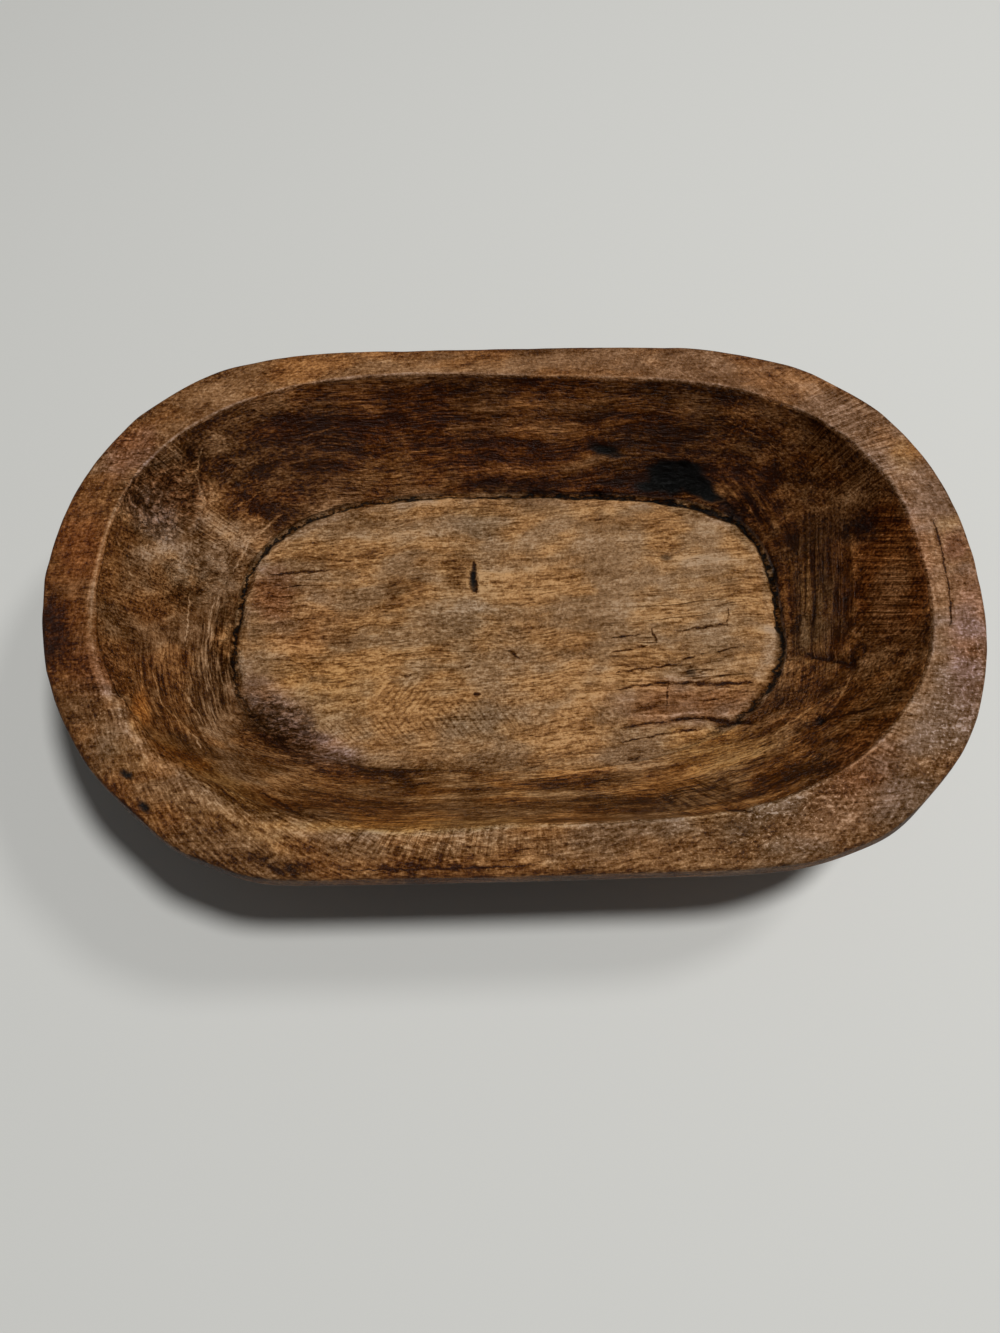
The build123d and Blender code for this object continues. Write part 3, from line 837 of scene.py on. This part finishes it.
# One crack or knife mark as a node group: 1 on the line from Start to End, 0 beyond half its width.
# The width is full half way along and goes to nothing at both ends, as a split in wood does
line = bpy.data.node_groups.new("line_mark", "ShaderNodeTree")
for name, kind in (("Place", "NodeSocketVector"), ("Start", "NodeSocketVector"), ("End", "NodeSocketVector"),
                   ("Width", "NodeSocketFloat")):
    line.interface.new_socket(name, in_out="INPUT", socket_type=kind)
line.interface.new_socket("Mask", in_out="OUTPUT", socket_type="NodeSocketFloat")
given = line.nodes.new("NodeGroupInput").outputs
reach = vector("SUBTRACT", given["Place"], given["Start"], where=line)
run = vector("SUBTRACT", given["End"], given["Start"], where=line)
forward = vector("DOT_PRODUCT", reach, run, output="Value", where=line)
whole = vector("DOT_PRODUCT", run, run, output="Value", where=line)
share = math("DIVIDE", forward, whole, where=line)
share = math("MAXIMUM", share, 0.0, where=line)
share = math("MINIMUM", share, 1.0, where=line)
foot_point = add("VectorMath", run, where=line, operation="SCALE")
line.links.new(share, foot_point.inputs["Scale"])
gap = vector("DISTANCE", reach, foot_point.outputs[0], output="Value", where=line)
rest = math("SUBTRACT", 1.0, share, where=line)
taper = math("MULTIPLY", share, rest, where=line)
taper = math("POWER", taper, 0.5, where=line)
half = math("MULTIPLY_ADD", given["Width"], taper, 0.1, where=line)
mask = add("MapRange", gap, 0.0, half, 1.0, 0.0, where=line, interpolation_type="SMOOTHSTEP",
           clamp=False).outputs[0]
line.links.new(mask, line.nodes.new("NodeGroupOutput").inputs["Mask"])


def knife_marks(lines):
    """Strongest of many lines, each a width and the places that it goes through, in the photo's pixels."""
    total = 0.0
    for width, path in lines:
        for start, end in zip(path[:-1], path[1:]):
            made = add("Group", shaken, (*start, 0.0), (*end, 0.0), width, node_tree=line)
            total = math("MAXIMUM", made.outputs["Mask"], total)
    return total


cracks = knife_marks([
    (7, [(622, 727), (700, 719)]), (6, [(690, 719), (752, 723)]), (4, [(610, 638), (640, 634)]),
    (4, [(676, 631), (732, 623)]), (4, [(612, 652), (648, 645)]), (4, [(716, 651), (746, 646)]),
    (4, [(615, 673), (682, 663)]), (4, [(674, 664), (704, 653)]), (4, [(615, 690), (672, 681)]),
    (7, [(660, 683), (758, 684)]), (3, [(667, 684), (668, 706)]), (4, [(652, 628), (657, 643)]),
    (3, [(728, 609), (727, 626)]), (4, [(625, 746), (704, 731)]), (5, [(625, 762), (640, 758)]),
    (5, [(270, 575), (330, 570)]), (9, [(473, 560), (477, 594)]), (5, [(508, 651), (520, 658)]),
    (4, [(455, 670), (470, 666)]), (6, [(404, 675), (411, 675)]), (6, [(474, 694), (481, 694)]),
    # The line from (262, 790) to (302, 812) is painted shade in the crease under the lip
    (3, [(262, 790), (302, 812)]), (3, [(934, 519), (943, 549)]), (3, [(942, 546), (951, 590)]),
    (3, [(951, 586), (951, 626)]), (5, [(803, 652), (852, 663)]), (5, [(812, 722), (876, 706)]),
    (3, [(340, 870), (525, 866)]), (4, [(724, 806), (754, 810)]),
])
scratches = knife_marks([
    (4, [(850, 674), (825, 716)]), (4, [(812, 706), (774, 735)]), (3, [(153, 668), (164, 706)]),
    (3, [(160, 700), (203, 747)]), (3, [(176, 678), (203, 719)]), (3, [(725, 419), (780, 451)]),
    (3, [(299, 438), (340, 426)]), (4, [(478, 574), (514, 571)]), (3, [(672, 557), (748, 560)]),
    (4, [(258, 495), (238, 507)]), (4, [(640, 716), (712, 714)]), (4, [(203, 448), (195, 477)]),
    (4, [(195, 475), (206, 504)]), (4, [(284, 513), (250, 541)]), (4, [(251, 539), (235, 572)]),
    (3, [(215, 600), (205, 650)]), (3, [(192, 590), (186, 640)]),
])

# Tone: what the surface carries, darkened and paled by every kind of line and speck, painted glints and
# painted shade round the scored line among them
tone_here = attribute("tone")
blotchy = attribute("blotchy")
fibre_depth = times(math("MULTIPLY_ADD", tone_here, 0.7, 0.22), ramp(hue, 0.40, 0.62, 0.08, 0.46))
fibre_tone = times(math("SUBTRACT", 0.22, fibre), fibre_depth)
streak_tone = times(swing(streak, 1.8), blotchy)
solid_grain = times(total_of(fibre_tone, streak_tone), long_grain)
round_grain = times(total_of(swing(round_fibre, 0.16), swing(round_streak, 0.55)), rounding_here)
ridge_grain = times(swing(round_fibre, 0.62), striated_here)
comb_grain = times(swing(comb_lines, 0.38), comb_here)
straight_grain = times(straight_lines, 0.42)
long_nap = times(math("SUBTRACT", nap, 0.5), math("SUBTRACT", 1.0, rounding_here))
turning_nap = times(math("SUBTRACT", round_nap, 0.5), rounding_here)
fine_grain = times(math("ADD", long_nap, turning_nap), attribute("nap"))
mottle_tone = times(swing(mottle, 1.2), times(blotchy, math("ADD", tone_here, 0.25)))
speck = math("MAXIMUM", ramp(torn_noise, 0.55, 0.64), ramp(grit, 0.58, 0.68))
painted_glint = times(speck, attribute("painted_glint_places"))
split = times(cracks, ramp(torn_noise, 0.34, 0.48))
worn = times(scratches, ramp(torn_noise, 0.32, 0.46))
shade = total_of(
    tone_here, solid_grain, round_grain, ridge_grain, comb_grain, straight_grain, fine_grain, mottle_tone,
    math("SUBTRACT", grit, 0.5), times(pore, -0.20), times(hairline, -0.38), times(split, -0.62),
    times(worn, 0.42), times(pit, -0.24), times(chatter, -0.16), times(groove_halo_dark_and_shade, -0.14),
    times(pits, 0.30), times(painted_glint, 0.42),
)

# Colour: the wood's scale from burnt to bare, then tinted by the stains and the painted sheen, and the soot
# and the painted shade of the scored line over all
WOOD_SCALE = [
    (0.00, (0.020, 0.0052, 0.0003)), (0.16, (0.039, 0.0108, 0.0007)), (0.33, (0.088, 0.0310, 0.0038)),
    (0.50, (0.156, 0.0705, 0.0212)), (0.68, (0.253, 0.130, 0.050)), (0.85, (0.372, 0.207, 0.090)),
    (1.00, (0.500, 0.310, 0.160)),
]
colours = add("ValToRGB", shade)
elements = colours.color_ramp.elements
while len(elements) > 1:
    elements.remove(elements[-1])
elements[0].color = (*WOOD_SCALE[0][1], 1)
for position, stop in WOOD_SCALE[1:]:
    elements.new(position).color = (*stop, 1)
tints = [
    (attribute("gold"), (1.12, 1.02, 0.66)), (attribute("olive"), (0.97, 1.16, 1.52)),
    (attribute("plum"), (1.00, 0.90, 1.15)), (attribute("red"), (1.12, 0.88, 0.74)),
    (ramp(hue, 0.42, 0.60), (1.12, 0.98, 0.80)), (ramp(hue, 0.58, 0.40), (0.96, 0.98, 1.10)),
]
SOOT = (0.004, 0.004, 0.0035, 1)
colour = colours.outputs["Color"]
for amount, cast in tints:
    colour = tint(amount, colour, (*cast, 1), "MULTIPLY")
soot_here = attribute("soot")
soot_patch = times(soot_here, ramp(math("ADD", torn_noise, soot_here), 0.55, 1.1))
# Black of the soot and of the scored line, which along the back is partly painted shade
soot_and_groove_shade = math("MAXIMUM", soot_patch, groove_dark_and_shade)
colour = tint(soot_and_groove_shade, colour, SOOT)
tree.links.new(colour, shader.inputs["Base Color"])

# Sheen: worn places are smoother, torn and burnt ones duller
WAX_ROUGHNESS, WAX_SPECULAR = 0.32, 0.14
gloss = total_of(WAX_ROUGHNESS, times(attribute("polish"), -0.06), times(torn_mask, 0.12),
                 times(soot_and_groove_shade, 0.15), swing(mottle, 0.35), swing(grit, 0.15))
tree.links.new(gloss, shader.inputs["Roughness"])
shader.inputs["Specular IOR Level"].default_value = WAX_SPECULAR

# Fine relief, in heights of the bump: what is too small for the mesh to carry
BUMP_HEIGHT = 1.5 * MM
relief = total_of(
    times(total_of(times(fibre, -0.12), swing(streak, 0.40)), long_grain),
    times(swing(round_fibre, 0.30), striated_here), times(swing(round_streak, 0.30), rounding_here),
    times(swing(comb_lines, 0.18), comb_here), times(straight_lines, 0.30), swing(nap, 0.25),
    swing(mottle, 0.60), swing(grit, 0.30), times(pits, 0.14), times(hairline, -0.25), times(pit, -0.85),
    times(chatter, -0.08), times(groove_dark_and_shade, -0.5),
)
bump = add("Bump")
bump.inputs["Strength"].default_value = 1.0
bump.inputs["Distance"].default_value = BUMP_HEIGHT
tree.links.new(relief, bump.inputs["Height"])
tree.links.new(bump.outputs["Normal"], shader.inputs["Normal"])

mesh.materials.append(wood)
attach(bowl, "root")
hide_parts("carved_bowl")

# The studio: a plain pale floor under the bowl, two soft lamps high up beyond its right-hand end, a pale sky
# for fill, and the camera at the photograph's viewing angle.
FLOOR_SIZE, FLOOR_COLOUR, FLOOR_ROUGHNESS = 6.0, (0.66, 0.66, 0.63, 1), 0.9
floor_mesh = bpy.data.meshes.new("studio_floor")
corner = FLOOR_SIZE / 2
floor_corners = [(-corner, -corner, 0), (corner, -corner, 0), (corner, corner, 0), (-corner, corner, 0)]
floor_mesh.from_pydata(floor_corners, [], [(0, 1, 2, 3)])
floor_object = bpy.data.objects.new("studio_floor", floor_mesh)
bpy.context.collection.objects.link(floor_object)
pale = bpy.data.materials.new("pale_floor")
pale.use_nodes = True
pale_shader = pale.node_tree.nodes["Principled BSDF"]
pale_shader.inputs["Base Color"].default_value = FLOOR_COLOUR
pale_shader.inputs["Roughness"].default_value = FLOOR_ROUGHNESS
floor_mesh.materials.append(pale)

# The main lamp stands level with the bowl's middle, and a weaker one further out and back brings out the wax
LAMPS = [("main_lamp", (0.42, -0.04, 1.55), 0.24, 17.0), ("low_lamp", (1.00, 0.50, 1.50), 0.32, 8.0)]
for name, place_at, size, power in LAMPS:
    lamp = bpy.data.lights.new(name, "AREA")
    lamp.shape = "DISK"
    lamp.size = size
    lamp.energy = power
    lamp_object = bpy.data.objects.new(name, lamp)
    lamp_object.location = place_at
    lamp_object.rotation_mode = "QUATERNION"
    bpy.context.collection.objects.link(lamp_object)
    lamp_object.rotation_quaternion = lamp_object.location.to_track_quat("Z", "Y")

SKY_STRENGTH = 0.085
world = bpy.data.worlds.new("studio")
world.use_nodes = True
world.node_tree.nodes["Background"].inputs["Color"].default_value = (1, 1, 1, 1)
world.node_tree.nodes["Background"].inputs["Strength"].default_value = SKY_STRENGTH
bpy.context.scene.world = world

SENSOR = 36.0
camera = bpy.data.cameras.new("camera")
camera.sensor_width = SENSOR
camera.lens = FOCAL / PHOTO_HEIGHT * SENSOR
camera.clip_start = 0.01
camera_object = bpy.data.objects.new("camera", camera)
camera_object.location = EYE * MM
camera_object.rotation_euler = (np.pi / 2 - LOOK_DOWN, 0, 0)
bpy.context.collection.objects.link(camera_object)
bpy.context.scene.camera = camera_object
bpy.context.scene.view_settings.view_transform = "Standard"
